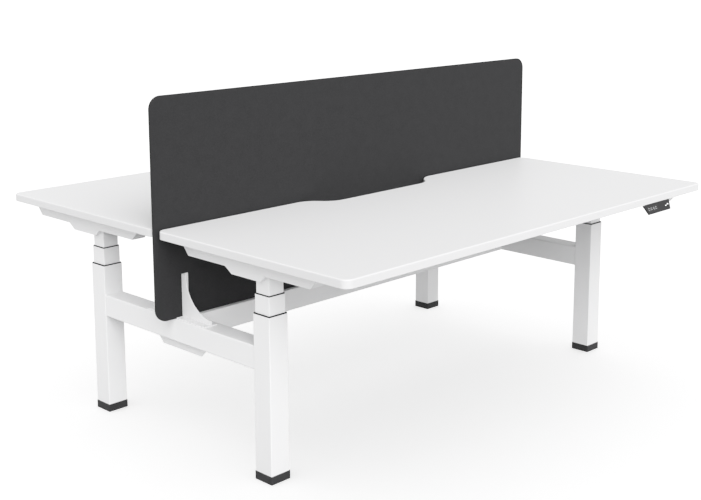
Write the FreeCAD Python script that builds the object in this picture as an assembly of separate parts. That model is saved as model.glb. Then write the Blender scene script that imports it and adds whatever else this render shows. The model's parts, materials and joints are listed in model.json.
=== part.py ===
import FreeCAD, Part
import math
import os

# Benching desk for two: two worktops back to back on one frame, each lifted by a pair of telescopic
# columns. Sizes in millimetres. X runs along the tops, the near desk is towards -Y, Z is up, and the
# origin is on the floor under the middle. Everything is drawn at rest, and the far desk is the near one
# turned half round.

os.makedirs("parts", exist_ok=True)
V = FreeCAD.Vector

# Worktops
top_length = 1800.0
top_depth = 800.0
top_thickness = 25.0
top_gap = 20.0
top_corner = 25.0
top_ease = 4.0
underside_ease = 1.5
scallop_floor = 380.0
scallop_ramp = 145.0
scallop_depth = 75.0

# Columns, from the floor up
column_end_inset = 98.0
column_front_inset = 405.0
foot_height = 25.0
outer_size = 70.0
outer_length = 473.0
outer_wall = 2.0
outer_guide = 2.25
middle_show = 55.0
middle_wall = 1.5
inner_guide = 1.5
inner_show = 59.0
inner_wall = 1.5
tube_round = 2.5
bore_round = 1.0
rim_height = 3.0
rim_inset = 1.0
guide_depth = 40.0
base_plate = 6.0
cap_lip = 1.0
cap_round = 1.5
peg_radius = 5.0
peg_offset = 20.0

# Lifting gear inside each column
lift_up = 580.0
lift_down = 70.0
stage_gap = 3.0
post_flange = 5.0
post_radius = 11.0
post_bore = 7.5
base_nut_length = 30.0
screw_radius = 7.0
screw_bore = 5.0
spindle_radius = 15.0
spindle_bore = 12.2
spindle_flange = 3.0
spindle_foot = 6.0
housing_floor = 6.0
housing_wall = 4.0
nut_flange = 12.0
nut_spigot = 15.0
spindle_cap = 10.0
hexagon_flats = 8.0
journal_radius = 6.0
journal_length = 22.0
gearbox_size = 56.0
motor_radius = 23.0
motor_length = 78.0

# Arms under the tops, measured from the column's axis
arm_height = 47.0
arm_sheet = 2.5
arm_half = 43.0
arm_end_width = 36.0
arm_long = 355.0
arm_long_slant = 40.0
arm_short = 258.0
arm_short_slant = 48.0
arm_wide_front = 120.0
arm_wide_back = 60.0
deep_drop = 19.0
deep_front = 116.0
deep_front_slant = 29.0
deep_back = 8.0
cover_sheet = 2.0
rail_spread = 45.0
rail_width = 30.0
rail_height = 25.0
rail_wall = 2.0
rail_end = 4.0

# Frame
beam_underside = 330.0
beam_height = 72.0
beam_inset = 1.0
beam_wall = 2.5
beam_round = 4.0
centre_beam_width = 40.0
spigot_length = 60.0
spigot_wall = 4.0
weld_overlap = 0.5
hanger_recess = 26.0
hanger_flange = 38.0
hanger_half = 128.0
hanger_drop = 33.5
hanger_sheet = 3.0
hanger_bolt_pitch = 120.0

# Screen and its brackets
screen_thickness = 9.0
screen_above_top = 400.0
screen_overhang = 5.0
screen_corner = 40.0
bracket_sheet = 3.0
bracket_offset = 6.0
bracket_width = 22.5
bracket_foot = 22.5
bracket_height = 137.0
bracket_reach = 138.5
bracket_head = 18.5
bracket_toe = 16.0

# Controls
control_length = 200.0
control_width = 80.0
control_height = 30.0
control_ear = 22.0
ear_sheet = 4.0
socket_width = 16.0
socket_height = 11.0
socket_depth = 8.0
handset_end_inset = 307.0
handset_width = 166.0
handset_lower_width = 138.0
handset_drop = 30.0
handset_reach = 16.5
handset_rim = 4.0
handset_thickness = 12.0
handset_back_taper = 14.0
handset_neck = 90.0
handset_neck_back = 20.0
handset_plate = 6.0
handset_back = 46.0
key_width = 11.0
key_height = 9.0
key_round = 2.0
key_pitch = 14.0
key_offset = 55.0
key_depth = 3.0
key_proud = 0.6
key_pocket = 5.0

# Fasteners
bolt_radius = 4.0
bolt_length = 16.0
bolt_head_radius = 7.0
bolt_head = 4.0
screw_m6_radius = 3.0
screw_m6_length = 16.0
screw_m6_head_radius = 5.5
screw_m6_head = 3.0

# Clearances, and how far a cutter runs past the face it leaves by
slide_play = 0.1
running_play = 0.05
seat_play = 0.05
loose_play = 0.3
bolt_play = 0.2
run_out = 1.0

# Heights and places that follow from the sizes
outer_top = foot_height + outer_length
middle_top = outer_top + rim_height + middle_show
arm_under = middle_top + rim_height + inner_show
top_under = arm_under + arm_height
top_surface = top_under + top_thickness
sheet_under = top_under - arm_sheet
rear_y = -top_gap / 2
front_y = rear_y - top_depth
column_x = top_length / 2 - column_end_inset
column_y = front_y + column_front_inset
outer_bore = outer_size - 2 * outer_wall
middle_size = outer_bore - 2 * outer_guide
middle_bore = middle_size - 2 * middle_wall
inner_size = middle_bore - 2 * inner_guide
inner_bore = inner_size - 2 * inner_wall
base_top = foot_height + base_plate
middle_bottom = base_top + post_flange + lift_down / 2 + stage_gap
spindle_bottom = middle_bottom + housing_floor + loose_play
housing_top = spindle_bottom + spindle_foot + loose_play + housing_wall
nut_bottom = housing_top + lift_down / 2 + stage_gap
inner_bottom = nut_bottom + nut_flange
post_top = spindle_bottom + lift_up / 2 + base_nut_length + stage_gap
cap_under = post_top + lift_down / 2 + stage_gap
shaft_bottom = cap_under - lift_up / 2 - stage_gap
beam_top = beam_underside + beam_height
beam_width = outer_size - 2 * beam_inset
side_inner_x = column_x - beam_width / 2
leg_face_y = column_y + outer_size / 2
handset_x = top_length / 2 - handset_end_inset
bracket_web_x = column_x + bracket_offset


def block(x0, x1, y0, y1, z0, z1):
    """Box between two corners."""
    return Part.makeBox(x1 - x0, y1 - y0, z1 - z0, V(x0, y0, z0))


def rod(radius, start, end):
    """Round bar between two points."""
    axis = end.sub(start)
    return Part.makeCylinder(radius, axis.Length, start, axis)


def upright(radius, x, y, z0, z1):
    """Upright round bar."""
    return rod(radius, V(x, y, z0), V(x, y, z1))


def prism(points, along):
    """Straight-sided solid on a flat polygon."""
    wire = Part.makePolygon(points + points[:1])
    return Part.Face(wire).extrude(along)


def square_bar(width, depth, radius, x, y, z0, z1):
    """Upright bar of rectangular section with rounded corners."""
    bar = block(x - width / 2, x + width / 2, y - depth / 2, y + depth / 2, z0, z1)
    corners = [e for e in bar.Edges if abs(e.tangentAt(e.FirstParameter).z) > 0.9]
    return bar.makeFillet(radius, corners)


def square_tube(size, bore, radius, bore_radius, x, y, z0, z1):
    """Upright square tube."""
    return square_bar(size, size, radius, x, y, z0, z1).cut(square_bar(bore, bore, bore_radius, x, y, z0, z1))


def lying_tube(width, height, wall, radius, along_y, length, centre):
    """Level rectangular tube along Y or X, with its long outer edges rounded."""
    outer = block(-width / 2, width / 2, -length / 2, length / 2, -height / 2, height / 2)
    long_edges = [e for e in outer.Edges if abs(e.tangentAt(e.FirstParameter).y) > 0.9]
    outer = outer.makeFillet(radius, long_edges)
    hollow = block(wall - width / 2, width / 2 - wall, -length, length, wall - height / 2, height / 2 - wall)
    tube = outer.cut(hollow)
    if not along_y:
        tube.rotate(V(0, 0, 0), V(0, 0, 1), 90)
    tube.translate(centre)
    return tube


def turned(shape):
    """Half turn about the upright axis in the middle of the desk."""
    copy = shape.copy()
    copy.rotate(V(0, 0, 0), V(0, 0, 1), 180)
    return copy


def moved(shape, x, y, half_turn=False):
    """Copy of a piece drawn about the upright axis, placed on a column."""
    copy = shape.copy()
    if half_turn:
        copy.rotate(V(0, 0, 0), V(0, 0, 1), 180)
    copy.translate(V(x, y, 0))
    return copy


def fastener(radius, length, head_radius, head, seat, direction):
    """Bolt whose head sits on the seat and whose shank runs in the given direction."""
    way = V(direction)
    way.normalize()
    shank = rod(radius, seat, seat.add(way * length))
    return shank.fuse(rod(head_radius, seat.sub(way * head), seat)).removeSplitter()


def bolt(seat, direction, length=bolt_length):
    return fastener(bolt_radius, length, bolt_head_radius, bolt_head, seat, direction)


def machine_screw(seat, direction):
    return fastener(screw_m6_radius, screw_m6_length, screw_m6_head_radius, screw_m6_head, seat, direction)


def drilled(shape, radius, seat, direction, depth):
    """Shape with a round hole from the seat on."""
    way = V(direction)
    way.normalize()
    return shape.cut(rod(radius, seat.sub(way * run_out), seat.add(way * depth)))


def save(name, shape):
    """Write a piece, or a group of like pieces, as one file."""
    if isinstance(shape, list):
        shape = Part.makeCompound(shape)
    shape.exportStep("parts/" + name + ".step")


UP = V(0, 0, 1)
DOWN = V(0, 0, -1)
LEFT = V(-1, 0, 0)
RIGHT = V(1, 0, 0)
NEARER = V(0, -1, 0)
bolt_hole = bolt_radius + bolt_play
bolt_thread = bolt_radius + seat_play
screw_hole = screw_m6_radius + bolt_play
screw_thread = screw_m6_radius + seat_play

# Corners of the frame: near left first, then near right; the far two are these turned half round.
near_columns = {"left": -column_x, "right": column_x}
corners = [(sx * column_x, sy * abs(column_y)) for sy in (-1, 1) for sx in (-1, 1)]


def corner_name(x, y):
    return ("near" if y < 0 else "far") + "_" + ("left" if x < 0 else "right")


# Outer tube of the near left leg: tube, base plate and the spigot the side beam slides over.
beam_bore_width = beam_width - 2 * beam_wall
beam_bore_height = beam_height - 2 * beam_wall
beam_middle_z = beam_underside + beam_height / 2
spigot_width = beam_bore_width - 2 * loose_play
spigot_height = beam_bore_height - 2 * loose_play
spigot_bolts = [spigot_length / 3, spigot_length * 2 / 3]

outer_tube = square_tube(outer_size, outer_bore, tube_round, bore_round, 0, 0, foot_height, outer_top)
plate = square_bar(outer_size, outer_size, tube_round, 0, 0, foot_height, base_top)
for peg_x in (-peg_offset, peg_offset):
    plate = plate.cut(upright(peg_radius + seat_play, peg_x, 0, foot_height, base_top))
outer_tube = outer_tube.fuse(plate)
spigot = block(-spigot_width / 2, spigot_width / 2,
               outer_size / 2 - weld_overlap, outer_size / 2 + spigot_length,
               beam_middle_z - spigot_height / 2, beam_middle_z + spigot_height / 2)
spigot_hollow = block(spigot_wall - spigot_width / 2, spigot_width / 2 - spigot_wall,
                      outer_size / 2, outer_size / 2 + 2 * spigot_length,
                      beam_middle_z - spigot_height / 2 + spigot_wall,
                      beam_middle_z + spigot_height / 2 - spigot_wall)
outer_tube = outer_tube.fuse(spigot.cut(spigot_hollow)).removeSplitter()
leg_left = moved(outer_tube, -column_x, column_y)
for step in spigot_bolts:
    seat = V(-column_x, leg_face_y + step, beam_underside)
    leg_left = drilled(leg_left, bolt_thread, seat, UP, bolt_length)
leg_right = leg_left.mirror(V(0, 0, 0), RIGHT)
save("outer_tube_near_left", leg_left)
save("outer_tube_near_right", leg_right)
save("outer_tube_far_left", turned(leg_right))
save("outer_tube_far_right", turned(leg_left))

# Foot cap with two pegs up into the base plate.
cap_size = outer_size + 2 * cap_lip
foot_cap = square_bar(cap_size, cap_size, cap_round, 0, 0, 0, foot_height)
for peg_x in (-peg_offset, peg_offset):
    foot_cap = foot_cap.fuse(upright(peg_radius, peg_x, 0, 0, base_top - seat_play))
foot_cap = foot_cap.removeSplitter()
save("foot_caps", [moved(foot_cap, x, y) for x, y in corners])

# Black collar on the outer tube: a thin rim on the end and a guide down inside.
collar_bore = middle_size + 2 * slide_play
guide_round = tube_round + slide_play
outer_rim = outer_size - 2 * rim_inset
rim_round = tube_round - rim_inset
outer_collar = square_bar(outer_rim, outer_rim, rim_round, 0, 0, outer_top, outer_top + rim_height)
guide_size = outer_bore - 2 * seat_play
outer_collar = outer_collar.fuse(square_bar(guide_size, guide_size, bore_round, 0, 0,
                                            outer_top - guide_depth, outer_top))
outer_collar = outer_collar.cut(square_bar(collar_bore, collar_bore, guide_round, 0, 0,
                                           outer_top - guide_depth, outer_top + rim_height))
outer_collar = outer_collar.removeSplitter()
save("outer_collars", [moved(outer_collar, x, y) for x, y in corners])

# Post on the base plate that carries the base nut, which the spindle's inner screw runs in.
post = upright(post_radius, 0, 0, base_top, post_top)
post = post.fuse(upright(2 * post_radius, 0, 0, base_top, base_top + post_flange))
post = post.cut(upright(post_bore, 0, 0, base_top, post_top - base_nut_length))
post = post.cut(upright(screw_radius + running_play, 0, 0, base_top, post_top))
post = post.removeSplitter()
save("base_nut_posts", [moved(post, x, y) for x, y in corners])

# Middle tube with the housing that carries the spindle's foot.
spindle_foot_radius = spindle_radius + spindle_flange
housing_radius = spindle_foot_radius + loose_play + housing_wall
middle_tube = square_tube(middle_size, middle_bore, tube_round, bore_round, 0, 0, middle_bottom, middle_top)
housing = square_bar(middle_size, middle_size, tube_round, 0, 0, middle_bottom, middle_bottom + housing_floor)
housing = housing.fuse(upright(housing_radius, 0, 0, middle_bottom, housing_top))
housing = housing.cut(upright(spindle_foot_radius + running_play, 0, 0, middle_bottom + housing_floor,
                              housing_top - housing_wall))
housing = housing.cut(upright(spindle_radius + loose_play, 0, 0, housing_top - housing_wall, housing_top))
housing = housing.cut(upright(post_radius + loose_play, 0, 0, middle_bottom, middle_bottom + housing_floor))
middle_tube = middle_tube.fuse(housing).removeSplitter()
for x, y in corners:
    save("middle_tube_" + corner_name(x, y), moved(middle_tube, x, y))

# Guides on the middle tube: a black collar at its top for the inner tube, a sleeve at its foot.
middle_rim = middle_size - 2 * rim_inset
inner_guide_bore = inner_size + 2 * slide_play
inner_guide_size = middle_bore - 2 * seat_play
middle_collar = square_bar(middle_rim, middle_rim, rim_round, 0, 0, middle_top, middle_top + rim_height)
middle_collar = middle_collar.fuse(square_bar(inner_guide_size, inner_guide_size, bore_round, 0, 0,
                                              middle_top - guide_depth, middle_top))
middle_collar = middle_collar.cut(square_bar(inner_guide_bore, inner_guide_bore, guide_round, 0, 0,
                                             middle_top - guide_depth, middle_top + rim_height))
middle_collar = middle_collar.removeSplitter()
sleeve_size = outer_bore - 2 * slide_play
sleeve_bore = middle_size + 2 * seat_play
middle_sleeve = square_tube(sleeve_size, sleeve_bore, bore_round, tube_round, 0, 0,
                            middle_bottom, middle_bottom + guide_depth)
for desk, side in (("near", -1), ("far", 1)):
    group = []
    for x in near_columns.values():
        group.append(moved(middle_collar, x, side * abs(column_y)))
        group.append(moved(middle_sleeve, x, side * abs(column_y)))
    save(desk + "_middle_guides", group)

# Double spindle: the outer screw lifts the inner stage, the screw inside it lifts the middle stage.
spindle = upright(spindle_radius, 0, 0, spindle_bottom, cap_under + spindle_cap)
spindle = spindle.fuse(upright(spindle_foot_radius, 0, 0, spindle_bottom, spindle_bottom + spindle_foot))
spindle = spindle.cut(upright(spindle_bore, 0, 0, spindle_bottom, cap_under))
spindle = spindle.fuse(upright(screw_radius, 0, 0, spindle_bottom, cap_under + spindle_cap / 2))
spindle = spindle.cut(upright(screw_bore, 0, 0, spindle_bottom, cap_under))


def hexagon(flats, z0, z1):
    """Upright hexagon bar."""
    radius = flats / math.sqrt(3)
    points = [V(radius * math.cos(math.radians(60 * k)), radius * math.sin(math.radians(60 * k)), z0)
              for k in range(6)]
    return prism(points, V(0, 0, z1 - z0))


spindle = spindle.cut(hexagon(hexagon_flats + 2 * running_play, cap_under, cap_under + spindle_cap))
spindle = spindle.removeSplitter()
shaft_top = arm_under + journal_length
shaft = hexagon(hexagon_flats, shaft_bottom, arm_under)
shaft = shaft.fuse(upright(journal_radius, 0, 0, arm_under - base_plate, shaft_top)).removeSplitter()
for x, y in corners:
    save("spindle_" + corner_name(x, y), moved(spindle, x, y))
    save("drive_shaft_" + corner_name(x, y), moved(shaft, x, y))

# Inner tube with a plate on top for the gearbox, and the lift nut that closes its foot.
inner_tube = square_tube(inner_size, inner_bore, tube_round, bore_round, 0, 0, inner_bottom, arm_under)
inner_plate = square_bar(inner_size, inner_size, tube_round, 0, 0, arm_under - base_plate / 2, arm_under)
inner_plate = inner_plate.cut(upright(journal_radius + loose_play, 0, 0, inner_bottom, arm_under))
inner_tube = inner_tube.fuse(inner_plate).removeSplitter()
nut_size = middle_bore - 2 * slide_play
nut_inner = inner_bore - 2 * seat_play
lift_nut = square_bar(nut_size, nut_size, bore_round, 0, 0, nut_bottom, inner_bottom)
lift_nut = lift_nut.fuse(square_bar(nut_inner, nut_inner, bore_round, 0, 0,
                                    inner_bottom, inner_bottom + nut_spigot))
lift_nut = lift_nut.cut(upright(spindle_radius + running_play, 0, 0, nut_bottom, inner_bottom + nut_spigot))
lift_nut = lift_nut.removeSplitter()

# Gearmotor: the gearbox stands on the inner tube, its motor lies in the deep part of the arm.
deep_under = arm_under - deep_drop
motor_z = deep_under + cover_sheet + loose_play + motor_radius
box_half = gearbox_size / 2
gearmotor = block(-box_half, box_half, -box_half, box_half, arm_under, sheet_under)
gearmotor = gearmotor.fuse(rod(motor_radius, V(0, box_half + loose_play, motor_z),
                               V(0, box_half + motor_length, motor_z)))
neck_half = motor_radius / 2
gearmotor = gearmotor.fuse(block(-neck_half, neck_half, 0, box_half + motor_length / 2,
                                 motor_z, motor_z + neck_half))
gearmotor = gearmotor.cut(upright(journal_radius + running_play, 0, 0, arm_under, shaft_top + loose_play))
gearmotor = gearmotor.removeSplitter()

# Arm: a pressed tray, open below. Its outer edge is straight and its inner edge tapers to both ends.
arm_tip = arm_end_width - arm_half
plan = [(-arm_half, -arm_short), (arm_tip, -arm_short), (arm_half, -arm_wide_back),
        (arm_half, arm_wide_front), (arm_tip, arm_long), (-arm_half, arm_long)]
deep_back_slant = deep_drop
profile = [(arm_short_slant - arm_short, arm_under), (-deep_back - deep_back_slant, arm_under),
           (-deep_back, deep_under), (deep_front, deep_under), (deep_front + deep_front_slant, arm_under),
           (arm_long - arm_long_slant, arm_under), (arm_long, top_under), (-arm_short, top_under)]


def inset(points, distances):
    """Anticlockwise polygon with each edge moved inwards by its own distance."""
    lines = []
    for k, (x0, y0) in enumerate(points):
        x1, y1 = points[(k + 1) % len(points)]
        length = math.hypot(x1 - x0, y1 - y0)
        nx, ny = -(y1 - y0) / length, (x1 - x0) / length
        lines.append((nx, ny, nx * x0 + ny * y0 + distances[k]))
    result = []
    for k, (a1, b1, c1) in enumerate(lines):
        a0, b0, c0 = lines[k - 1]
        det = a0 * b1 - a1 * b0
        result.append(((c0 * b1 - c1 * b0) / det, (a0 * c1 - a1 * c0) / det))
    return result


def over_plan(points, z0, z1):
    return prism([V(x, y, z0) for x, y in points], V(0, 0, z1 - z0))


def across(points, x0, x1):
    return prism([V(x0, y, z) for y, z in points], V(x1 - x0, 0, 0))


reach = 2 * arm_half
open_end = -arm_long
arm = over_plan(plan, deep_under - run_out, top_under + run_out).common(across(profile, -reach, reach))
bore_plan = inset(plan, [open_end, arm_sheet, arm_sheet, arm_sheet, open_end, arm_sheet])
bore_profile = inset([(arm_short_slant - arm_short, arm_under), (arm_long - arm_long_slant, arm_under),
                      (arm_long, top_under), (-arm_short, top_under)],
                     [-2 * deep_drop, arm_sheet, arm_sheet, arm_sheet])
arm_bore = over_plan(bore_plan, deep_under - reach, top_under).common(across(bore_profile, -reach, reach))
arm = arm.cut(arm_bore)

# Cover that closes the deep part under the motor, turned up at its back, with a notch for the column.
cover_plan = inset(plan, [open_end] + [arm_sheet + loose_play] * 3 + [open_end, arm_sheet + loose_play])
cover = over_plan(cover_plan, deep_under, deep_under + cover_sheet)
cover = cover.common(block(-reach, reach, -deep_back, deep_front, 0, top_under))
lip_run = cover_sheet * math.sqrt(2)
lip = across([(-deep_back, deep_under), (lip_run - deep_back, deep_under),
              (lip_run - deep_back - deep_back_slant, arm_under), (-deep_back - deep_back_slant, arm_under)],
             -reach, reach)
cover = cover.fuse(lip.common(over_plan(cover_plan, deep_under, arm_under)))
notch = inner_size + 2 * loose_play
cover = cover.cut(square_bar(notch, notch, tube_round, 0, 0, deep_under - run_out, arm_under))
tab_plan = inset(plan, [open_end] + [arm_sheet] * 3 + [open_end, arm_sheet])
tabs = over_plan(tab_plan, deep_under, deep_under + cover_sheet).cut(over_plan(cover_plan, 0, top_under))
tabs = tabs.common(block(-reach, reach, deep_front / 2, deep_front - 4 * cover_sheet, 0, top_under))
cover = cover.fuse(tabs).removeSplitter()

# Screws that hold each arm to its top, as (inwards, along) from the column's axis.
arm_screw_x = (arm_tip - arm_half) / 2 + arm_sheet
arm_screws = [(arm_screw_x, arm_short_slant - arm_short), (arm_screw_x, -arm_wide_back - rail_spread),
              (arm_screw_x, arm_wide_front + 2 * rail_width), (arm_screw_x, arm_long - arm_long_slant)]
rail_screw_z = top_under - rail_height / 2
for x, y in arm_screws:
    arm = drilled(arm, screw_hole, V(x, y, sheet_under), UP, 2 * arm_sheet)
for y in (-rail_spread, rail_spread):
    arm = drilled(arm, screw_hole, V(arm_half - arm_sheet, y, rail_screw_z), RIGHT, 2 * arm_sheet)
arm = arm.removeSplitter()


def s_curve(x_sign):
    """The two tangent arcs of one end of the scallop, from the rear edge down to its floor."""
    radius = (scallop_ramp ** 2 + scallop_depth ** 2) / (4 * scallop_depth)
    half_angle = math.asin(scallop_ramp / 2 / radius) / 2
    side = radius * math.sin(half_angle)
    drop = radius * (1 - math.cos(half_angle))
    x_end = scallop_floor / 2 + scallop_ramp
    x_mid = scallop_floor / 2 + scallop_ramp / 2
    start = V(x_sign * x_end, rear_y, top_under)
    middle = V(x_sign * x_mid, rear_y - scallop_depth / 2, top_under)
    end = V(x_sign * scallop_floor / 2, rear_y - scallop_depth, top_under)
    bulge = V(x_sign * (x_end - side), rear_y - drop, top_under)
    hollow = V(x_sign * (scallop_floor / 2 + side), rear_y - scallop_depth + drop, top_under)
    return [Part.Arc(start, bulge, middle).toShape(), Part.Arc(middle, hollow, end).toShape()], start, end


def corner_arc(x_sign, y_edge, y_sign):
    """Rounded plan corner and the points where it meets the length edge and the end edge."""
    x_edge = x_sign * top_length / 2
    slack = top_corner * (1 - math.sqrt(0.5))
    on_length = V(x_edge - x_sign * top_corner, y_edge, top_under)
    on_end = V(x_edge, y_edge - y_sign * top_corner, top_under)
    between = V(x_edge - x_sign * slack, y_edge - y_sign * slack, top_under)
    return Part.Arc(on_length, between, on_end).toShape(), on_length, on_end


def line(a, b):
    return Part.makeLine(a, b)


# Near worktop
edges = []
ends = {}
for x_sign in (-1, 1):
    front_arc, front_in, front_end = corner_arc(x_sign, front_y, -1)
    rear_arc, rear_in, rear_end = corner_arc(x_sign, rear_y, 1)
    curve, curve_start, curve_end = s_curve(x_sign)
    edges += [front_arc, rear_arc, line(front_end, rear_end), line(rear_in, curve_start)] + curve
    ends[x_sign] = (front_in, curve_end)
edges.append(line(ends[-1][0], ends[1][0]))
edges.append(line(ends[-1][1], ends[1][1]))
outline = Part.Wire(Part.__sortEdges__(edges))
worktop = Part.Face(outline).extrude(V(0, 0, top_thickness))


def level_edges(shape, z):
    return [e for e in shape.Edges if all(abs(v.Point.z - z) < 0.001 for v in e.Vertexes)]


worktop = worktop.makeFillet(top_ease, level_edges(worktop, top_surface))
worktop = worktop.makeFillet(underside_ease, level_edges(worktop, top_under))

# Cross rails between the two arms of a desk
rail_half = column_x - arm_half
rails = []
for y in (column_y - rail_spread, column_y + rail_spread):
    rail = block(-rail_half, rail_half, y - rail_width / 2, y + rail_width / 2,
                 top_under - rail_height, top_under)
    rail = rail.cut(block(rail_end - rail_half, rail_half - rail_end, y - rail_width / 2 + rail_wall,
                          y + rail_width / 2 - rail_wall, top_under - rail_height + rail_wall,
                          top_under - rail_wall))
    for x, way in ((-rail_half, RIGHT), (rail_half, LEFT)):
        rail = drilled(rail, screw_thread, V(x, y, rail_screw_z), way, screw_m6_length)
    rails.append(rail)

# Control box under the near top, behind the rails, with sockets in its rear face
control_front = column_y + rail_spread + rail_width
control_rear = control_front + control_width
control = block(-control_length / 2, control_length / 2, control_front, control_rear,
                top_under - control_height, top_under)
ear_half = control_length / 2 + control_ear
control = control.fuse(block(-ear_half, ear_half, control_front + control_ear, control_rear - control_ear,
                             top_under - ear_sheet, top_under))
control_middle = (control_front + control_rear) / 2
ear_x = control_length / 2 + control_ear / 2
for x in (-ear_x, ear_x):
    control = drilled(control, screw_hole, V(x, control_middle, top_under - ear_sheet), UP, 2 * ear_sheet)
for k in range(4):
    socket_x = control_length * (k - 1.5) / 5
    socket_z = top_under - control_height / 2
    control = control.cut(block(socket_x - socket_width / 2, socket_x + socket_width / 2,
                                control_rear - socket_depth, control_rear + run_out,
                                socket_z - socket_height / 2, socket_z + socket_height / 2))
control = control.removeSplitter()

# Handset under the near front edge: a slab that leans out and narrows downwards, with a tapered back,
# on a neck that ends in a plate under the top
face_length = math.hypot(handset_reach, handset_drop)
face_down = V(0, -handset_reach / face_length, -handset_drop / face_length)
face_out = V(0, -handset_drop / face_length, handset_reach / face_length)
face_lean = math.degrees(math.atan2(handset_reach, handset_drop))


def behind_face(x, down, depth):
    """Point of the handset, from the middle of its face's upper edge."""
    return V(handset_x + x, front_y, top_under).add(face_down * down).add(face_out * -depth)


def handset_outline(depth, narrower):
    """Closed outline across the handset at a depth behind its face."""
    upper = handset_width / 2 - narrower
    lower = handset_lower_width / 2 - narrower
    foot = face_length - narrower / 2
    corners_down = ((-upper, 0), (-lower, foot), (lower, foot), (upper, 0), (-upper, 0))
    return Part.makePolygon([behind_face(x, down, depth) for x, down in corners_down])


handset = Part.Face(handset_outline(0, 0)).extrude(face_out * -handset_rim)
handset = handset.fuse(Part.makeLoft([handset_outline(handset_rim, 0),
                                      handset_outline(handset_thickness, handset_back_taper)], True, True))
neck_foot = behind_face(0, face_length * 2 / 3, handset_thickness * 2 / 3)
plate_under = top_under - handset_plate
neck_view = [(front_y, top_under), (neck_foot.y, neck_foot.z), (front_y + handset_neck_back, plate_under),
             (front_y + handset_back, plate_under), (front_y + handset_back, top_under)]
handset = handset.fuse(across(neck_view, handset_x - handset_neck / 2, handset_x + handset_neck / 2))


def key_bar(x, grow, inner, outer):
    """Rounded bar square to the handset's face, from one depth below it to a height above it."""
    bar = square_bar(key_width + 2 * grow, key_height + 2 * grow, key_round + grow, 0, 0, -inner, outer)
    bar.rotate(V(0, 0, 0), V(1, 0, 0), 90 - face_lean)
    bar.translate(behind_face(x - handset_x, face_length / 2, 0))
    return bar


key_places = {"down": handset_x + key_offset - key_pitch / 2, "up": handset_x + key_offset + key_pitch / 2}
keys = {}
for name, x in key_places.items():
    handset = handset.cut(key_bar(x, loose_play, key_pocket, key_pocket))
    keys[name] = key_bar(x, 0, key_depth, key_proud)
handset_screw_y = front_y + (handset_neck_back + handset_back) / 2
handset_screws = [handset_x - handset_neck / 3, handset_x + handset_neck / 3]
for x in handset_screws:
    handset = drilled(handset, screw_hole, V(x, handset_screw_y, plate_under), UP, 2 * handset_plate)
handset = handset.removeSplitter()

# Screws of the near desk, with their holes in the top
fixings = []
top_screw_seats = [V(x, control_middle, top_under - ear_sheet) for x in (-ear_x, ear_x)]
top_screw_seats += [V(x, handset_screw_y, plate_under) for x in handset_screws]
for x, y in arm_screws:
    top_screw_seats.append(V(x - column_x, y + column_y, sheet_under))
    top_screw_seats.append(V(column_x - x, column_y - y, sheet_under))
for seat in top_screw_seats:
    fixings.append(machine_screw(seat, UP))
    hole_depth = seat.z + screw_m6_length + loose_play
    worktop = worktop.cut(upright(screw_thread, seat.x, seat.y, top_under - run_out, hole_depth))
for y in (-rail_spread, rail_spread):
    fixings.append(machine_screw(V(arm_half - arm_sheet - column_x, column_y + y, rail_screw_z), RIGHT))
    fixings.append(machine_screw(V(column_x - arm_half + arm_sheet, column_y + y, rail_screw_z), LEFT))

# The near desk as drawn, the far desk as its half turn. A turned left piece is a right piece.
arm_left = moved(arm, -column_x, column_y)
arm_right = moved(arm, column_x, column_y, True)
save("near_arm_left", arm_left)
save("near_arm_right", arm_right)
save("far_arm_left", turned(arm_right))
save("far_arm_right", turned(arm_left))
column_groups = {"inner_tubes": inner_tube, "lift_nuts": lift_nut, "gearmotors": gearmotor,
                 "motor_covers": cover}
for name, piece in column_groups.items():
    group = [moved(piece, -column_x, column_y), moved(piece, column_x, column_y, True)]
    save("near_" + name, group)
    save("far_" + name, [turned(s) for s in group])
desk_pieces = {"worktop": [worktop], "cross_rails": rails, "control_box": [control], "handset": [handset],
               "fixings": fixings, "key_up": [keys["up"]], "key_down": [keys["down"]]}
for name, pieces in desk_pieces.items():
    save("near_" + name, pieces)
    save("far_" + name, [turned(s) for s in pieces])

# Side beam of the left end, with the spigot for the centre beam
frame_bolts = []
side_beam = lying_tube(beam_width, beam_height, beam_wall, beam_round, True, -2 * leg_face_y,
                       V(-column_x, 0, beam_middle_z))
stub_half = centre_beam_width / 2 - beam_wall - loose_play
stub = block(-side_inner_x - weld_overlap, spigot_length - side_inner_x, -stub_half, stub_half,
             beam_middle_z - spigot_height / 2, beam_middle_z + spigot_height / 2)
stub = stub.cut(block(-side_inner_x, 2 * spigot_length - side_inner_x, spigot_wall - stub_half,
                      stub_half - spigot_wall, beam_middle_z - spigot_height / 2 + spigot_wall,
                      beam_middle_z + spigot_height / 2 - spigot_wall))
side_beam = side_beam.fuse(stub).removeSplitter()
for step in spigot_bolts:
    for y in (leg_face_y + step, -leg_face_y - step):
        seat = V(-column_x, y, beam_underside)
        side_beam = drilled(side_beam, bolt_hole, seat, UP, 2 * beam_wall)
        frame_bolts.append(bolt(seat, UP))

# Centre beam, bolted from below into the spigots
centre_beam = lying_tube(centre_beam_width, beam_height, beam_wall, beam_round, False, 2 * side_inner_x,
                         V(0, 0, beam_middle_z))
for step in spigot_bolts:
    seat = V(step - side_inner_x, 0, beam_underside)
    side_beam = drilled(side_beam, bolt_thread, seat, UP, bolt_length)
    for x in (seat.x, -seat.x):
        centre_beam = drilled(centre_beam, bolt_hole, V(x, 0, beam_underside), UP, 2 * beam_wall)
    frame_bolts.append(bolt(seat, UP))

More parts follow.
